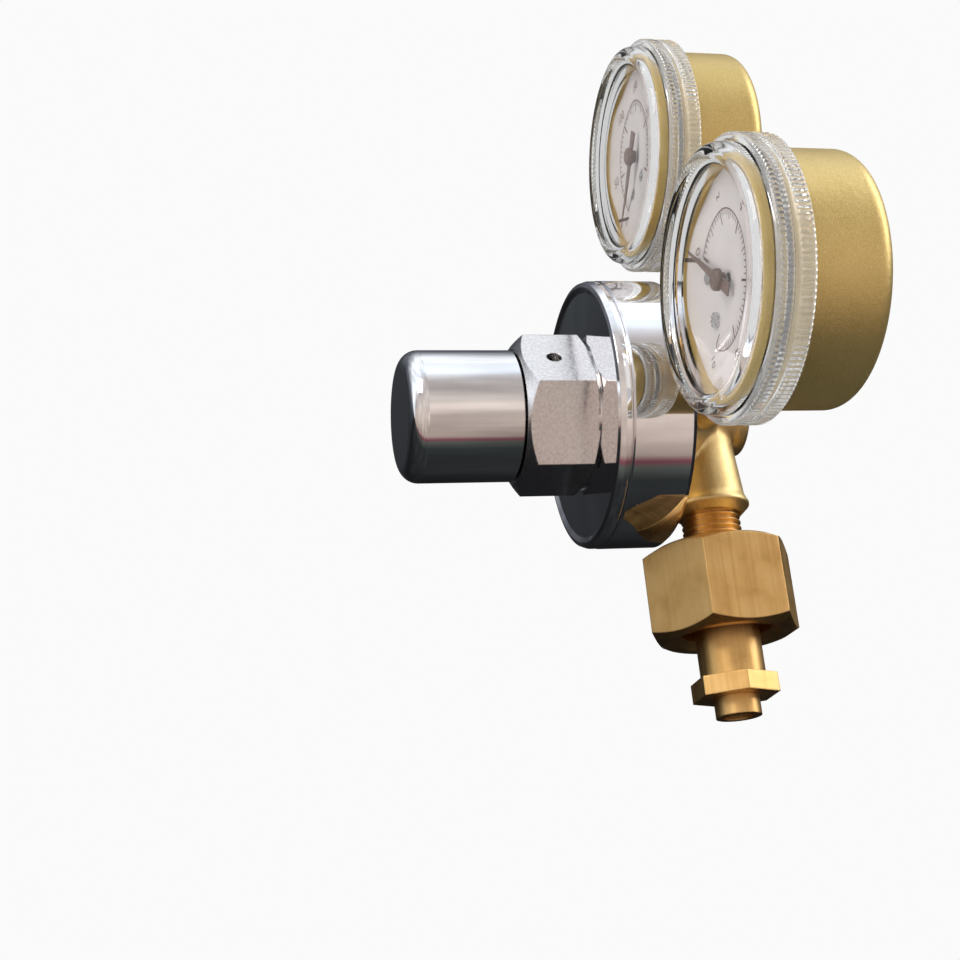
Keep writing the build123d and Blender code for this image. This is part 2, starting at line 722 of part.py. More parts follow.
def make_sector(gauge):
    pitch = 360.0 / SECTOR_TEETH
    first = round(-1.0 * SECTOR_SWING / pitch) - 1
    with BuildPart() as sector:
        plane = gauge.face(10.0, 0, SECTOR_W)
        low, high = 90.0 + (first - 0.5) * pitch, 90.0 + 2.5 * pitch
        rim = SECTOR_R - TOOTH_ROOT
        arc = [rim * cos(radians(low)), rim * sin(radians(low))]
        middle = radians((low + high) / 2)
        with BuildSketch(plane) as blank:
            with BuildLine():
                Line((0, 0), tuple(arc))
                ThreePointArc(
                    tuple(arc),
                    (rim * cos(middle), rim * sin(middle)),
                    (rim * cos(radians(high)), rim * sin(radians(high))),
                )
                Line((rim * cos(radians(high)), rim * sin(radians(high))), (0, 0))
            make_face()
            Circle(1.6)
        extrude(blank.sketch, amount=0.9)
        for index in range(first, 3):
            slab(plane, tooth(SECTOR_R, 90.0 + index * pitch, 0.2, 0.08), 0.9)
        tail = radians(TAIL_MEAN_ANGLE - SECTOR_SWING / 2)
        with BuildSketch(plane) as arm:
            with Locations(Location((TAIL_LENGTH / 2 * cos(tail), TAIL_LENGTH / 2 * sin(tail)))):
                SlotCenterToCenter(TAIL_LENGTH, 1.8, rotation=degrees(tail))
        extrude(arm.sketch, amount=0.9)
        rod(gauge.face(PLATE_DEPTHS[1][1], 0, SECTOR_W), 0.6, 5.2)
        tail_u, tail_w = TAIL_LENGTH * cos(tail), SECTOR_W + TAIL_LENGTH * sin(tail)
        rod(gauge.face(11.0, tail_u, tail_w), 0.4, 1.5)
    export(sector, f"{gauge.name}_sector_gear")
    return tail_u, tail_w


def make_link(gauge, tail_u, tail_w):
    tip_u = TUBE_R * cos(radians(TUBE_ENDS[1]))
    tip_w = TUBE_R * sin(radians(TUBE_ENDS[1]))
    length = hypot(tip_u - tail_u, tip_w - tail_w)
    angle = degrees(atan2(tip_w - tail_w, tip_u - tail_u))
    middle = ((tip_u + tail_u) / 2, (tip_w + tail_w) / 2)
    with BuildPart() as link:
        with BuildSketch(gauge.face(10.8)) as bar:
            with Locations(Location(middle)):
                SlotCenterToCenter(length, 3.0, rotation=angle)
        extrude(bar.sketch, amount=0.5)
        rod(gauge.face(11.5, tail_u, tail_w), 0.45, 2.0, Mode.SUBTRACT)
        rod(gauge.face(11.5, tip_u, tip_w), 0.95, 2.0, Mode.SUBTRACT)
    export(link, f"{gauge.name}_link")
    with BuildPart() as tip:
        end = radians(TUBE_ENDS[1])
        out, along = (cos(end), sin(end)), (-sin(end), cos(end))
        corners = []
        for r, t in ((-2.0, -2.2), (2.0, -2.2), (2.0, 1.6), (-2.0, 1.6)):
            u = tip_u + r * out[0] + t * along[0]
            w = tip_w + r * out[1] + t * along[1]
            corners.append((u, w))
        slab(gauge.face(18.6), corners, 7.4)
        rod(gauge.face(11.3, tip_u, tip_w), 0.45, 1.5)
    export(tip, f"{gauge.name}_tube_tip")


def make_tube(gauge):
    start, end = TUBE_ENDS
    end += 5.8
    with BuildPart() as bourdon:
        with BuildSketch(gauge.face(19.2)) as band:
            with BuildLine():
                outer, inner = TUBE_R + 1.1, TUBE_R - 1.1
                rays = [radians(a) for a in (start, (start + end) / 2, end)]
                wide = [(outer * cos(a), outer * sin(a)) for a in rays]
                tight = [(inner * cos(a), inner * sin(a)) for a in rays]
                ThreePointArc(*wide)
                Line(wide[2], tight[2])
                ThreePointArc(*reversed(tight))
                Line(tight[0], wide[0])
            make_face()
        extrude(band.sketch, amount=6.0)
        fillet(bourdon.edges().filter_by(GeomType.CIRCLE), 0.9)
    export(bourdon, f"{gauge.name}_bourdon_tube")


def make_movement(gauge):
    outline = [(-6.2, -14.0), (6.2, -14.0), (6.2, -6.0), (3.0, 3.6), (-3.0, 3.6), (-6.2, -6.0)]
    with BuildPart() as plates:
        for front, back in PLATE_DEPTHS:
            slab(gauge.face(back), outline, back - front)
        for u, w in ((-5.0, -12.8), (5.2, -8.6)):
            rod(gauge.face(PLATE_DEPTHS[1][0], u, w), 0.8, 4.0)
        for w in (0.0, SECTOR_W):
            rod(gauge.face(14.0, 0, w), 0.65, 8.0, Mode.SUBTRACT)
        for u in (-4.6, 4.6):
            rod(gauge.face(9.0, u, -8.0), 0.8, 2.0, Mode.SUBTRACT)
    export(plates, f"{gauge.name}_movement")
    with BuildPart() as hairspring:
        with BuildSketch(gauge.face(11.6)) as wound:
            for ring in range(3, -1, -1):
                radius = 1.7 + 0.45 * ring
                Circle(radius)
                Circle(radius - 0.2, mode=Mode.SUBTRACT)
            with Locations((0, 0.95), (0, -2.4)):
                Rectangle(0.3, 1.7)
        extrude(wound.sketch, amount=0.4)
        rod(gauge.face(12.0), 1.1, 1.2)
        rod(gauge.face(12.5), 0.62, 3.0, Mode.SUBTRACT)
    export(hairspring, f"{gauge.name}_hairspring")


def make_socket(gauge):
    root_u = TUBE_R * cos(radians(TUBE_ENDS[0]))
    with BuildPart() as socket:
        end = STEM_END
        block = [(-9.5, -21.0), (7.0, -21.0), (7.0, -12.6), (-4.6, -12.6), (-4.6, -14.4)]
        slab(gauge.face(19.4), block + [(-9.5, -14.4)], 6.4)
        turn(
            gauge.stem(),
            [(19.0, 0), (19.0, NECK_R), (28.2, NECK_R), (28.2, 6.9), (28.6, 7.3), (30.4, 7.3)]
            + [(30.8, 6.4), (STEM_SHOULDER, 6.4), (STEM_SHOULDER, PIPE_ROOT_R)]
            + thread_points(STEM_SHOULDER + 0.4, end - 0.2, PIPE_R, PIPE_ROOT_R, PIPE_PITCH)
            + [(end, PIPE_ROOT_R - 0.4), (end, 0)],
        )
        square = Plane(gauge.stem().origin - gauge.up * 28.4, x_dir=(0, 1, 0), z_dir=-gauge.up)
        with BuildSketch(square) as flats:
            RectangleRounded(13.0, 13.0, 1.2)
        extrude(flats.sketch, amount=STEM_SHOULDER - 29.0)
        bore = Plane(gauge.stem().origin - gauge.up * 17.0, z_dir=-gauge.up)
        rod(bore, 1.5, 60.0, Mode.SUBTRACT)
        with BuildSketch(gauge.face(20.0)) as slot:
            Circle(TUBE_R + 1.15)
            Circle(TUBE_R - 1.15, mode=Mode.SUBTRACT)
            with Locations((root_u - 9.5, -16.0)):
                Rectangle(20.0, 12.0, mode=Mode.INTERSECT)
        extrude(slot.sketch, amount=8.0, mode=Mode.SUBTRACT)
    export(socket, f"{gauge.name}_socket")
    with BuildPart() as plug:
        rod(gauge.face(CASE_DEPTH + 0.6, w=13.0), 4.4, 0.6)
        rod(gauge.face(CASE_DEPTH, w=13.0), 3.45, 1.0)
        rod(gauge.face(CASE_DEPTH - 1.0, w=13.0), 3.9, 0.8)
    export(plug, f"{gauge.name}_blowout_plug")


GAUGES = [
    Gauge("high", (0, BODY_Z + GAUGE_OFFSET), FAR_PORT_Y, (0, 0, 1)),
    Gauge("low", (GAUGE_OFFSET, BODY_Z), NEAR_PORT_Y, (1, 0, 0)),
]

for gauge in GAUGES:
    make_case(gauge)
    make_lens(gauge)
    make_dial(gauge)
    make_pointer(gauge)
    make_link(gauge, *make_sector(gauge))
    make_tube(gauge)
    make_movement(gauge)
    make_socket(gauge)
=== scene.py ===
"""Looks for the two-gauge carbon dioxide regulator, in metres, in the CAD row's frame."""

import json
import math

import bmesh
import bpy
from mathutils import Matrix, Vector


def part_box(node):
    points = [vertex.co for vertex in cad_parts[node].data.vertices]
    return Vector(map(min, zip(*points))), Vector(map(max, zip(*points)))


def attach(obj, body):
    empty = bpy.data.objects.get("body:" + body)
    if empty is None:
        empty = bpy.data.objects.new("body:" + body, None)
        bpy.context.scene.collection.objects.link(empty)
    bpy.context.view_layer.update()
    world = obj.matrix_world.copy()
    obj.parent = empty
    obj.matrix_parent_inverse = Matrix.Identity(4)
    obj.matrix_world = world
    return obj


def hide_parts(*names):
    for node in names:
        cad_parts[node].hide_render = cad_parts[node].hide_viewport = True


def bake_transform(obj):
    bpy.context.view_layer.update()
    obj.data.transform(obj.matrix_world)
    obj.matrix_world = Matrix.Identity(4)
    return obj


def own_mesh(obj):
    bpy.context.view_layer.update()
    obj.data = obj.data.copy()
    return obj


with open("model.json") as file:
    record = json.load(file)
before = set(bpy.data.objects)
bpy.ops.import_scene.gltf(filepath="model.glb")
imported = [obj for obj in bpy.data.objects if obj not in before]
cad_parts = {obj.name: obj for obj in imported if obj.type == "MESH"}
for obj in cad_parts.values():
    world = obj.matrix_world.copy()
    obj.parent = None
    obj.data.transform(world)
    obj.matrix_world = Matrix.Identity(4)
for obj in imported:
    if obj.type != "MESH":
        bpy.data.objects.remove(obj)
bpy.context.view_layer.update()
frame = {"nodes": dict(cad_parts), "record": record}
NODES = frame["nodes"]
MM = 0.001
BODY_Z = 70.5 * MM
SHARP_ANGLE = math.radians(40)


def new_object(name, data):
    """An object at the origin that shows this data."""
    thing = bpy.data.objects.new(name, data)
    bpy.context.scene.collection.objects.link(thing)
    return thing


# ---------------------------------------------------------------- camera

CAMERA_TARGET = Vector((0.0, -26.7, 70.5)) * MM
CAMERA_AZIMUTH = math.radians(72.23)
CAMERA_ELEVATION = math.radians(-21.24)
CAMERA_ROLL = math.radians(-6.98)
CAMERA_DISTANCE = 376.2 * MM
CAMERA_PAN = math.radians(-3.57)
CAMERA_TILT = math.radians(2.22)
CAMERA_LENS = 62.16
CAMERA_SENSOR = 36.0
CAMERA_NEAREST = 10 * MM


def make_camera():
    """The fitted viewpoint: an orbit round the target, then a roll, a tilt and a pan."""
    back = Vector(
        (
            math.sin(CAMERA_AZIMUTH) * math.cos(CAMERA_ELEVATION),
            -math.cos(CAMERA_AZIMUTH) * math.cos(CAMERA_ELEVATION),
            math.sin(CAMERA_ELEVATION),
        )
    )
    forward = -back
    right = forward.cross(Vector((0, 0, 1))).normalized()
    up = right.cross(forward)
    rolled_right = math.cos(CAMERA_ROLL) * right + math.sin(CAMERA_ROLL) * up
    rolled_up = -math.sin(CAMERA_ROLL) * right + math.cos(CAMERA_ROLL) * up
    rows = Matrix((rolled_right, rolled_up, back))
    turn = Matrix.Rotation(CAMERA_PAN, 3, "Y") @ Matrix.Rotation(CAMERA_TILT, 3, "X")
    axes = (turn @ rows).transposed().to_4x4()
    data = bpy.data.cameras.new("camera")
    data.lens = CAMERA_LENS
    data.sensor_width = CAMERA_SENSOR
    data.clip_start = CAMERA_NEAREST
    camera = new_object("camera", data)
    camera.matrix_world = Matrix.Translation(CAMERA_TARGET + back * CAMERA_DISTANCE) @ axes
    bpy.context.scene.camera = camera


make_camera()

# ---------------------------------------------------------------- material helpers


class Nodes:
    """Short names for the shader nodes this scene uses, in one node tree."""

    def __init__(self, tree, coordinates):
        self.tree = tree
        self.place = self.add("ShaderNodeTexCoord").outputs[coordinates]

    def add(self, kind, **settings):
        node = self.tree.nodes.new(kind)
        for key, value in settings.items():
            setattr(node, key, value)
        return node

    def link(self, output, target):
        self.tree.links.new(output, target)

    def scaled(self, scale):
        """The coordinates scaled along each axis, so that noise can be stretched."""
        mapping = self.add("ShaderNodeMapping")
        mapping.inputs["Scale"].default_value = scale
        self.link(self.place, mapping.inputs["Vector"])
        return mapping.outputs["Vector"]

    def noise(self, scale, detail=3.0, stretch=(1, 1, 1), rough=0.55):
        node = self.add("ShaderNodeTexNoise")
        node.inputs["Scale"].default_value = scale
        node.inputs["Detail"].default_value = detail
        node.inputs["Roughness"].default_value = rough
        self.link(self.scaled(stretch), node.inputs["Vector"])
        return node.outputs["Fac"]

    def ramp(self, value, stops):
        """Map a 0..1 value to colours: stops are (position, (r, g, b))."""
        node = self.add("ShaderNodeValToRGB")
        band = node.color_ramp
        while len(band.elements) < len(stops):
            band.elements.new(0.5)
        for element, (position, colour) in zip(band.elements, stops):
            element.position = position
            element.color = (*colour, 1.0)
        self.link(value, node.inputs["Fac"])
        return node.outputs["Color"]

    def spread(self, value, low, high, start=0.3, end=0.7):
        """Map a noise value to the range low..high."""
        node = self.add("ShaderNodeMapRange")
        node.inputs["From Min"].default_value = start
        node.inputs["From Max"].default_value = end
        node.inputs["To Min"].default_value = low
        node.inputs["To Max"].default_value = high
        self.link(value, node.inputs["Value"])
        return node.outputs["Result"]

    def math(self, operation, first, second):
        node = self.add("ShaderNodeMath", operation=operation)
        for socket, value in zip(node.inputs, (first, second)):
            if isinstance(value, (int, float)):
                socket.default_value = value
            else:
                self.link(value, socket)
        return node.outputs["Value"]

    def blend(self, factor, first, second):
        node = self.add("ShaderNodeMix", data_type="RGBA")
        self.link(factor, node.inputs["Factor"])
        colour_sockets = [s for s in node.inputs if s.type == "RGBA"]
        for socket, value in zip(colour_sockets, (first, second)):
            if isinstance(value, tuple):
                socket.default_value = (*value, 1.0)
            else:
                self.link(value, socket)
        return [s for s in node.outputs if s.type == "RGBA"][0]


class Material(Nodes):
    """A Principled material in object coordinates."""

    def __init__(self, name, metallic=0.0, roughness=0.5):
        self.data = bpy.data.materials.new(name)
        self.data.use_nodes = True
        super().__init__(self.data.node_tree, "Object")
        self.shader = self.tree.nodes["Principled BSDF"]
        self.shader.inputs["Metallic"].default_value = metallic
        self.shader.inputs["Roughness"].default_value = roughness

    def relief(self, layers, edge=0.0):
        """Stack bump layers of (height, strength, distance) over an optional worn edge."""
        normal = None
        if edge:
            bevel = self.add("ShaderNodeBevel", samples=4)
            bevel.inputs["Radius"].default_value = edge
            normal = bevel.outputs["Normal"]
        for height, strength, distance in layers:
            bump = self.add("ShaderNodeBump")
            bump.inputs["Strength"].default_value = strength
            bump.inputs["Distance"].default_value = distance
            self.link(height, bump.inputs["Height"])
            if normal:
                self.link(normal, bump.inputs["Normal"])
            normal = bump.outputs["Normal"]
        self.link(normal, self.shader.inputs["Normal"])

    def into(self, output, socket):
        self.link(output, self.shader.inputs[socket])


def chrome():
    """Mirror chrome: faint waviness, fine haze and a few wiping marks."""
    m = Material("chrome", metallic=1.0)
    haze = m.noise(90, 4)
    m.into(m.ramp(haze, [(0.3, (0.86, 0.84, 0.84)), (0.7, (0.93, 0.92, 0.93))]), "Base Color")
    wipes = m.noise(900, 2, (0.12, 1, 1))
    m.into(m.math("ADD", m.spread(haze, 0.02, 0.05), m.spread(wipes, 0.0, 0.03)), "Roughness")
    m.relief([(m.noise(55, 2), 0.035, 0.0003), (m.noise(2400, 2), 0.01, 0.00003)])
    return m.data


HEXAGON_REAR = -27.9 * MM
DISC_FRONT = -27.5 * MM


def bonnet_chrome():
    """The disc is a mirror; the hexagon has plating over a slightly grainy forging."""
    m = Material("bonnet_chrome", metallic=1.0)
    split = m.add("ShaderNodeSeparateXYZ")
    m.link(m.place, split.inputs["Vector"])
    on_hexagon = m.spread(split.outputs["Y"], 1.0, 0.0, HEXAGON_REAR, DISC_FRONT)
    haze = m.noise(120, 4)
    grain = m.noise(1500, 4)
    grained = m.ramp(grain, [(0.3, (0.66, 0.63, 0.62)), (0.7, (0.86, 0.83, 0.82))])
    m.into(m.blend(on_hexagon, (0.92, 0.90, 0.90), grained), "Base Color")
    smooth = m.spread(haze, 0.02, 0.05)
    rough = m.math("MULTIPLY", on_hexagon, m.spread(grain, 0.12, 0.22))
    m.into(m.math("ADD", smooth, rough), "Roughness")
    height = m.math("MULTIPLY", grain, on_hexagon)
    m.relief([(m.noise(50, 2), 0.04, 0.0004), (height, 0.10, 0.00008)], 0.0004)
    return m.data


def turned_brass():
    """Machined brass: drawn streaks along the bar, turning rings, stains and scratches."""
    m = Material("turned_brass", metallic=1.0)
    streaks = m.noise(1300, 3, (1, 1, 0.02))
    stains = m.noise(140, 5)
    scratches = m.noise(500, 2, (1, 1, 6.0), 0.4)
    base = m.ramp(
        stains, [(0.30, (0.60, 0.34, 0.11)), (0.5, (0.76, 0.47, 0.17)), (0.7, (0.82, 0.55, 0.23))]
    )
    streaked = m.ramp(streaks, [(0.35, (0.66, 0.39, 0.14)), (0.65, (0.86, 0.58, 0.25))])
    m.into(m.blend(m.spread(stains, 0.15, 0.45), base, streaked), "Base Color")
    m.into(m.math("ADD", m.spread(streaks, 0.30, 0.40), m.spread(stains, 0.0, 0.08)), "Roughness")
    m.relief([(streaks, 0.14, 0.00005), (scratches, 0.10, 0.00004)], 0.0004)
    return m.data


def forged_brass():
    """Sandblasted forging: an even fine grain with soft colour patches."""
    m = Material("forged_brass", metallic=1.0)
    grain = m.noise(3200, 3)
    patches = m.noise(90, 4)
    base = m.ramp(patches, [(0.3, (0.66, 0.46, 0.17)), (0.7, (0.84, 0.64, 0.30))])
    m.into(m.blend(m.spread(grain, 0.0, 0.35), base, (0.98, 0.82, 0.48)), "Base Color")
    m.into(m.spread(grain, 0.36, 0.52), "Roughness")
    m.relief([(m.noise(600, 3), 0.25, 0.00010), (grain, 0.55, 0.00008)])
    return m.data


def gold_paint():
    """Metallic gold paint: flakes in a satin lacquer with a little orange peel."""
    m = Material("gold_paint", metallic=0.85)
    flakes = m.noise(4200, 2)
    patches = m.noise(60, 3)
    base = m.ramp(patches, [(0.3, (0.56, 0.40, 0.13)), (0.7, (0.66, 0.48, 0.18))])
    m.into(m.blend(m.spread(flakes, 0.0, 0.5, 0.45, 0.75), base, (0.92, 0.76, 0.38)), "Base Color")
    m.into(m.spread(flakes, 0.36, 0.50), "Roughness")
    m.relief([(m.noise(900, 2), 0.35, 0.00016), (flakes, 0.35, 0.00006)])
    return m.data


LENS_LETS_THROUGH = 0.85


def clear_plastic():
    """Clear moulded lens with faint flow marks; light passes it on the way to the dial."""
    m = Material("clear_plastic", roughness=0.03)
    flow = m.noise(160, 3)
    m.into(m.ramp(flow, [(0.3, (0.96, 0.97, 0.97)), (0.7, (1.0, 1.0, 1.0))]), "Base Color")
    m.shader.inputs["Transmission Weight"].default_value = 1.0
    m.shader.inputs["IOR"].default_value = 1.4
    m.into(m.spread(flow, 0.015, 0.05), "Roughness")
    shadow = m.add("ShaderNodeLightPath").outputs["Is Shadow Ray"]
    blocked = m.math("SUBTRACT", 1.0, m.math("MULTIPLY", shadow, LENS_LETS_THROUGH))
    m.into(blocked, "Alpha")
    m.relief([(m.noise(45, 2), 0.04, 0.0003)])
    return m.data


def ribbed_plastic():
    """The knurled wall of the lens: the same plastic, hazed by its ribs."""
    m = Material("ribbed_plastic")
    haze = m.noise(700, 3)
    m.into(m.ramp(haze, [(0.3, (0.90, 0.89, 0.86)), (0.7, (1.0, 0.99, 0.97))]), "Base Color")
    m.shader.inputs["Transmission Weight"].default_value = 0.74
    m.shader.inputs["IOR"].default_value = 1.5
    m.into(m.spread(haze, 0.05, 0.12), "Roughness")
    m.relief([(m.noise(45, 2), 0.04, 0.0003)])
    return m.data


BROAD_TO_FINE = 14


def plain(name, dark, light, low, high, grain=1800, metallic=0.0):
    """A fine-grained material for small parts: two tones, two roughnesses and a bump."""
    m = Material(name, metallic=metallic)
    fine = m.noise(grain, 3)
    broad = m.noise(grain / BROAD_TO_FINE, 3)
    tone = m.ramp(broad, [(0.3, dark), (0.7, light)])
    m.into(m.blend(m.spread(fine, 0.0, 0.4), tone, light), "Base Color")
    m.into(m.spread(fine, low, high), "Roughness")
    m.relief([(fine, 0.15, 0.00005)])
    return m.data


MATERIALS = {
    "chrome": chrome(),
    "turned_brass": turned_brass(),
    "forged_brass": forged_brass(),
    "gold_paint": gold_paint(),
    "clear_plastic": clear_plastic(),
    "dial_white": plain("dial_white", (0.50, 0.46, 0.46), (0.56, 0.52, 0.52), 0.4, 0.55, 900),
    "dark_brown": plain("dark_brown", (0.060, 0.026, 0.014), (0.13, 0.065, 0.045), 0.3, 0.45),
    "steel": plain("steel", (0.45, 0.45, 0.46), (0.66, 0.66, 0.67), 0.2, 0.35, 1500, 1.0),
    "spring_steel": plain("spring_steel", (0.3, 0.3, 0.31), (0.5, 0.5, 0.52), 0.25, 0.4, 1500, 1.0),
    "black_rubber": plain("black_rubber", (0.02, 0.02, 0.02), (0.045, 0.043, 0.04), 0.6, 0.8),
    "bronze": plain("bronze", (0.42, 0.26, 0.12), (0.62, 0.42, 0.22), 0.25, 0.4, 1500, 1.0),
    "seat_plastic": plain("seat_plastic", (0.72, 0.70, 0.64), (0.82, 0.80, 0.74), 0.4, 0.6),
}
RIBBED_PLASTIC = ribbed_plastic()
SLOTS = {entry["node"]: entry["material_slot"] for entry in frame["record"]["subparts"]}


def dress(piece, material):
    piece.data.materials.clear()
    piece.data.materials.append(material)


for node, slot in SLOTS.items():
    dress(NODES[node], MATERIALS[slot])
dress(NODES["bonnet"], bonnet_chrome())

# ---------------------------------------------------------------- pieces


def new_piece(name, vertices, faces, material, smooth=True):
    """A mesh piece of one material, with its normals turned outward."""
    mesh = bpy.data.meshes.new(name)
    mesh.from_pydata(vertices, [], faces)
    mesh.materials.append(material)
    piece = new_object(name, mesh)
    tidy = bmesh.new()
    tidy.from_mesh(mesh)
    bmesh.ops.recalc_face_normals(tidy, faces=tidy.faces)
    tidy.to_mesh(mesh)
    tidy.free()
    if smooth:
        mesh.shade_smooth()
    return piece


class Gauge:
    """Where one gauge sits: depths run back from the lens front."""

    def __init__(self, name, up):
        self.name = name
        low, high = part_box(f"{name}_lens")
        middle = (low + high) / 2
        self.front = Vector((middle.x, low.y, middle.z))
        self.up = Vector(up)
        self.right = Vector((self.up.z, 0, -self.up.x))

    def at(self, depth, u, w):
        """A point from millimetres of depth, right and up in the dial's own view."""
        return self.front + (Vector((0, depth, 0)) + self.right * u + self.up * w) * MM


GAUGES = (Gauge("high", (0, 0, 1)), Gauge("low", (1, 0, 0)))

# Lens outline as (depth, radius) and bands as (depth, radius, 1 where ribbed), in millimetres
RIBS = 146
RIB_STEPS = 4
RIB_CREST_STEPS = 2
RIB_DEPTH = 0.4
LENS_OUTSIDE = (
    (1.0, 0.01), (1.0, 12.0), (1.0, 21.6), (0.85, 22.0), (0.3, 22.5), (0.08, 22.9), (0.0, 23.3),
    (0.0, 24.2), (0.1, 24.6), (0.5, 25.2), (1.0, 25.6), (1.6, 25.8), (3.2, 25.9), (3.6, 26.0),
    (3.8, 26.4), (3.9, 26.9), (4.1, 27.2),
)
LENS_RISE_ROWS = 3
LENS_BANDS = (
    (4.3, 27.3, 0), (4.5, 27.34, 1), (5.2, 27.34, 1), (6.0, 27.34, 1), (6.8, 27.34, 1),
    (7.0, 27.3, 0), (7.2, 27.0, 0), (7.4, 26.9, 0), (7.8, 26.9, 0), (8.0, 27.0, 0), (8.2, 27.3, 0),
    (8.4, 27.34, 1), (9.2, 27.34, 1), (10.2, 27.34, 1), (10.9, 27.34, 1), (11.1, 27.3, 0),
    (11.3, 27.1, 0),
)
LENS_INSIDE = (
    (11.4, 26.8), (11.4, 25.3), (11.2, 25.1), (9.0, 25.1), (6.6, 25.1), (6.5, 25.0), (6.5, 23.9),
    (6.3, 23.7), (4.0, 23.7), (2.6, 23.7), (2.3, 23.5), (2.2, 23.2), (2.2, 12.0), (2.2, 0.01),
)


def make_lens(gauge):
    """A turned lens with two knurled bands of fine axial ribs."""
    smooth_rows = [[(*point, 0) for point in half] for half in (LENS_OUTSIDE, LENS_INSIDE)]
    rows = smooth_rows[0] + list(LENS_BANDS) + smooth_rows[1]
    steps = RIBS * RIB_STEPS
    vertices, faces = [], []
    for depth, radius, ribbed in rows:
        for step in range(steps):
            angle = 2 * math.pi * step / steps
            crest = RIB_DEPTH * ribbed * (step % RIB_STEPS < RIB_CREST_STEPS)
            reach = radius + crest
            vertices.append(gauge.at(depth, reach * math.cos(angle), reach * math.sin(angle)))
    for row in range(len(rows) - 1):
        for step in range(steps):
            follow = (step + 1) % steps
            a, b = row * steps, (row + 1) * steps
            faces.append((a + step, a + follow, b + follow, b + step))
    faces.append(tuple(range(steps)))
    last = (len(rows) - 1) * steps
    faces.append(tuple(last + step for step in range(steps)))
    lens = new_piece(f"{gauge.name}_lens_clear", vertices, faces, MATERIALS["clear_plastic"])
    lens.data.set_sharp_from_angle(angle=SHARP_ANGLE)
    lens.data.materials.append(RIBBED_PLASTIC)
    first_ribbed = len(LENS_OUTSIDE) - LENS_RISE_ROWS
    last_ribbed = len(LENS_OUTSIDE) + len(LENS_BANDS) - 1
    for row in range(first_ribbed, last_ribbed):
        for step in range(steps):
            lens.data.polygons[row * steps + step].material_index = 1
    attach(lens, "body")
    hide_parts(f"{gauge.name}_lens")


# Dial print, in millimetres and in degrees clockwise from the top
DIAL_FACE = 5.98
ZERO_CLOCK = 225.0
SWEEP = 270.0
MARKS = 50
MAJOR_EVERY, MAJOR_LENGTH, MAJOR_HALF = 10, 3.0, 0.26
MIDDLE_EVERY, MIDDLE_LENGTH = 5, 2.0
MINOR_LENGTH, MINOR_HALF = 1.2, 0.12
MARK_OUTER = 14.0
ARC_STEPS = 90
ARC_WIDTH = 0.28
NUMBER_R = 17.6
NUMBER_SIZE = 3.4
PRINT_T = 0.03
NUMBERS = {
    "high": ("0", "50", "100", "150", "200", "250"),
    "low": ("0", "2", "4", "6", "8", "10"),
}


def spoke(clock, inner, outer, half):
    """The corners of a thin radial mark."""
    s, c = math.sin(math.radians(clock)), math.cos(math.radians(clock))
    corners = ((inner, -half), (outer, -half), (outer, half), (inner, half))
    return [(r * s + t * c, r * c - t * s) for r, t in corners]


def prism(gauge, outlines, name):
    """Thin raised print: each outline becomes a small closed slab on the dial."""
    vertices, faces = [], []
    for outline in outlines:
        count, base = len(outline), len(vertices)
        for depth in (DIAL_FACE - PRINT_T, DIAL_FACE):
            vertices += [gauge.at(depth, u, w) for u, w in outline]
        faces.append(tuple(range(base, base + count)))
        faces.append(tuple(range(base + count, base + 2 * count)))
        for i in range(count):
            j = (i + 1) % count
            faces.append((base + i, base + j, base + count + j, base + count + i))
    return new_piece(name, vertices, faces, MATERIALS["dark_brown"], smooth=False)


def number_mesh(text):
    """A thin flat number, centred on its origin."""
    curve = bpy.data.curves.new("number", "FONT")
    curve.body = text
    curve.size = NUMBER_SIZE
    curve.align_x = "CENTER"
    curve.align_y = "CENTER"
    curve.extrude = PRINT_T / 2
    carrier = new_object("number", curve)
    state = bpy.context.evaluated_depsgraph_get()
    mesh = bpy.data.meshes.new_from_object(carrier.evaluated_get(state))
    bpy.data.objects.remove(carrier)
    return mesh


def arc_tile(clock, turn):
    """The corners of one short piece of the arc outside the marks."""
    corners = []
    for radius, angle in (
        (MARK_OUTER, clock),
        (MARK_OUTER + ARC_WIDTH, clock),
        (MARK_OUTER + ARC_WIDTH, clock + turn),
        (MARK_OUTER, clock + turn),
    ):
        turned = math.radians(angle)
        corners.append((radius * math.sin(turned), radius * math.cos(turned)))
    return corners


def make_print(gauge):
    """Scale marks, the arc round them and plain numbers."""
    outlines = []
    for mark in range(MARKS + 1):
        clock = ZERO_CLOCK + SWEEP * mark / MARKS
        length, half = MINOR_LENGTH, MINOR_HALF
        if mark % MAJOR_EVERY == 0:
            length, half = MAJOR_LENGTH, MAJOR_HALF
        elif mark % MIDDLE_EVERY == 0:
            length = MIDDLE_LENGTH
        outlines.append(spoke(clock, MARK_OUTER - length, MARK_OUTER, half))
    for step in range(ARC_STEPS):
        clock = ZERO_CLOCK + SWEEP * step / ARC_STEPS
        outlines.append(arc_tile(clock, SWEEP / ARC_STEPS))
    marks = prism(gauge, outlines, f"{gauge.name}_scale")
    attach(marks, "body")
    vertices, faces = [], []
    numbers = NUMBERS[gauge.name]
    for index, text in enumerate(numbers):
        clock = math.radians(ZERO_CLOCK + SWEEP * index / (len(numbers) - 1))
        mesh = number_mesh(text)
        base = len(vertices)
        for vertex in mesh.vertices:
            u = NUMBER_R * math.sin(clock) + vertex.co.x
            w = NUMBER_R * math.cos(clock) + vertex.co.y
            vertices.append(gauge.at(DIAL_FACE - PRINT_T / 2 - vertex.co.z, u, w))
        faces += [tuple(base + i for i in polygon.vertices) for polygon in mesh.polygons]
        bpy.data.meshes.remove(mesh)
    piece = new_piece(f"{gauge.name}_numbers", vertices, faces, MATERIALS["dark_brown"], False)
    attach(piece, "body")


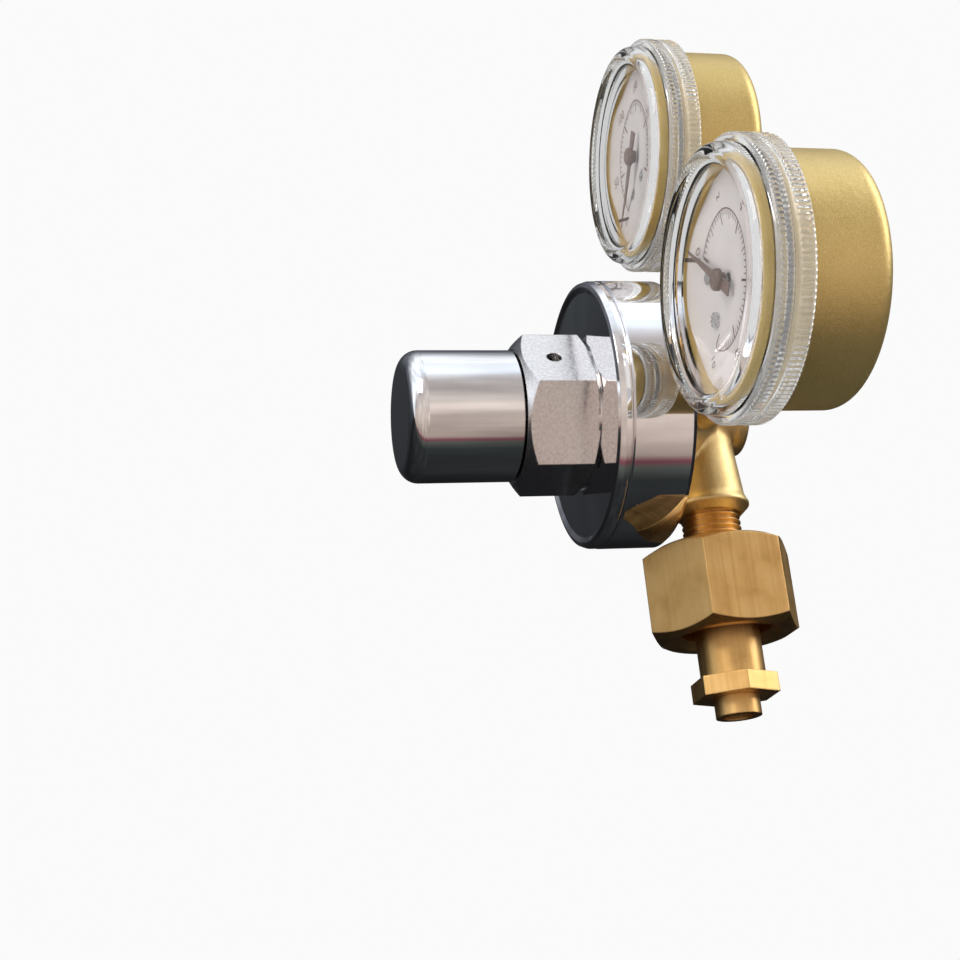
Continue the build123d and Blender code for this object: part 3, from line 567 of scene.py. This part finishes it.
for gauge in GAUGES:
    make_lens(gauge)
    make_print(gauge)

FORGING_VOXEL = 0.35 * MM
FORGING_CORE = 13.5 * MM
FORGING_BORE_R = 7.0 * MM
FORGING_FRONT = -10.1 * MM
FORGING_REAR = 6.4 * MM
FORGING_PASSES = 14


def make_forging():
    """The casting with its webs run together in soft fillets; machined ends stay crisp."""
    casting = new_object("forging_cast", NODES["rear_forging"].data.copy())
    remesh = casting.modifiers.new("remesh", "REMESH")
    remesh.mode = "VOXEL"
    remesh.voxel_size = FORGING_VOXEL
    scene_state = bpy.context.evaluated_depsgraph_get()
    mesh = bpy.data.meshes.new_from_object(casting.evaluated_get(scene_state))
    casting.modifiers.clear()
    casting.data = mesh
    work = bmesh.new()
    work.from_mesh(mesh)
    centre = Vector((0, 0, BODY_Z))
    soft = []
    for vertex in work.verts:
        off = vertex.co - centre
        inside = abs(off.x) < FORGING_CORE and abs(off.z) < FORGING_CORE
        outside_bores = off.xz.length > FORGING_BORE_R
        if inside and outside_bores and FORGING_FRONT < off.y < FORGING_REAR:
            soft.append(vertex)
    for _ in range(FORGING_PASSES):
        bmesh.ops.smooth_vert(
            work, verts=soft, factor=0.5, use_axis_x=True, use_axis_y=True, use_axis_z=True
        )
    work.to_mesh(mesh)
    work.free()
    mesh.shade_smooth()
    dress(casting, MATERIALS["forged_brass"])
    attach(casting, "body")
    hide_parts("rear_forging")


make_forging()

# ---------------------------------------------------------------- springs and tubes

CARRIER_TRAVEL = 4.5 * MM
VALVE_LIFT = 0.8 * MM


def supple(node):
    """A copy of a CAD node with its own mesh, standing in for the hidden node."""
    piece = new_object(f"{node}_supple", NODES[node].data.copy())
    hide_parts(node)
    return piece


def make_springs():
    """Each coil becomes a copy of its CAD node with its own mesh, attached to the body that carries
    it.
    """
    for node, body, joint, travel, held_low in (
        ("range_spring", "spring_carrier", "carrier_slide", CARRIER_TRAVEL, True),
        ("poppet_spring", "body", "poppet_lift", VALVE_LIFT, False),
    ):
        spring = supple(node)
        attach(spring, body)
        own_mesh(spring)


def make_bourdon(gauge):
    """The tube becomes a copy of its CAD node, with its placement baked into the mesh."""
    tube = supple(f"{gauge.name}_bourdon_tube")
    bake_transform(tube)


make_springs()
for gauge in GAUGES:
    make_bourdon(gauge)

# ---------------------------------------------------------------- studio


def card(name, size, place, energy, colour, mirrored=True):
    """A soft area light aimed at the object, mirrored in glossy surfaces or not."""
    light = bpy.data.lights.new(name, "AREA")
    light.shape = "RECTANGLE"
    light.size, light.size_y = size
    light.energy = energy
    light.color = colour
    lamp = new_object(name, light)
    lamp.location = place
    lamp.rotation_mode = "QUATERNION"
    lamp.rotation_quaternion = (Vector((0, 0, BODY_Z)) - Vector(place)).to_track_quat("-Z", "Y")
    lamp.visible_glossy = mirrored


FLOOR_EXTENT = 30.0
FLOOR_LEVEL = -0.16


def make_floor():
    """A wide pale paper floor below the object, which the chrome does not mirror."""
    corners = [
        (x * FLOOR_EXTENT, y * FLOOR_EXTENT, FLOOR_LEVEL)
        for x, y in ((-1, -1), (1, -1), (1, 1), (-1, 1))
    ]
    paper = plain("floor_paper", (0.80, 0.80, 0.79), (0.84, 0.84, 0.83), 0.7, 0.85, 400)
    floor = new_piece("floor", corners, [(0, 1, 2, 3)], paper)
    floor.visible_glossy = False


# Reflections run round the body axis: dark behind, a pale ceiling, a beige room, a dark floor
ROOM = (
    (0.00, (0.012, 0.012, 0.014)),
    (0.28, (0.030, 0.034, 0.036)),
    (0.315, (0.09, 0.10, 0.09)),
    (0.33, (0.20, 0.06, 0.08)),
    (0.345, (0.42, 0.34, 0.30)),
    (0.43, (0.66, 0.56, 0.50)),
    (0.50, (0.74, 0.66, 0.61)),
    (0.58, (0.52, 0.48, 0.47)),
    (0.63, (0.74, 0.70, 0.70)),
    (0.67, (1.02, 1.12, 1.24)),
    (0.77, (1.12, 1.18, 1.26)),
    (0.81, (0.50, 0.52, 0.56)),
    (0.85, (0.16, 0.17, 0.20)),
    (0.91, (0.045, 0.05, 0.055)),
    (1.00, (0.012, 0.012, 0.014)),
)
ROOM_STREAK_LOW = 0.72
ROOM_STREAK_HIGH = 1.2
ROOM_STREAK_STRETCH = (2.0, 7.0, 2.0)
BACKDROP = (0.96, 0.96, 0.96)
BACKDROP_THROUGH_LENS = 0.74


def make_world():
    """A plain backdrop for the camera, and a streaked room for all that reflects."""
    world = bpy.data.worlds.new("room")
    world.use_nodes = True
    bpy.context.scene.world = world
    world.node_tree.nodes.clear()
    w = Nodes(world.node_tree, "Generated")
    parts = w.add("ShaderNodeSeparateXYZ")
    w.link(w.place, parts.inputs["Vector"])
    angle = w.math("ARCTAN2", parts.outputs["Z"], parts.outputs["X"])
    bands = w.ramp(w.spread(angle, 0.0, 1.0, -math.pi, math.pi), ROOM)
    streaks = w.noise(1.0, 4.0, ROOM_STREAK_STRETCH, 0.5)
    room = w.add("ShaderNodeVectorMath", operation="SCALE")
    w.link(bands, room.inputs[0])
    level = w.spread(streaks, ROOM_STREAK_LOW, ROOM_STREAK_HIGH, 0.35, 0.65)
    w.link(level, room.inputs["Scale"])
    rays = w.add("ShaderNodeLightPath")
    through = w.math("MULTIPLY", rays.outputs["Is Transmission Ray"], BACKDROP_THROUGH_LENS)
    seen = w.math("MAXIMUM", rays.outputs["Is Camera Ray"], through)
    shine = w.add("ShaderNodeBackground")
    w.link(w.blend(seen, room.outputs["Vector"], BACKDROP), shine.inputs["Color"])
    output = w.add("ShaderNodeOutputWorld")
    w.link(shine.outputs["Background"], output.inputs["Surface"])


make_world()
make_floor()
card("key", (0.7, 0.5), (0.75, -0.75, 0.75), 6.0, (1.0, 0.98, 0.95))
card("fill", (0.6, 0.6), (0.2, -0.9, 0.1), 3.5, (1.0, 0.97, 0.94), mirrored=False)
card("rim", (0.3, 0.9), (0.3, 0.9, 0.6), 5.0, (0.95, 0.97, 1.0))
bpy.context.scene.view_settings.view_transform = "Standard"
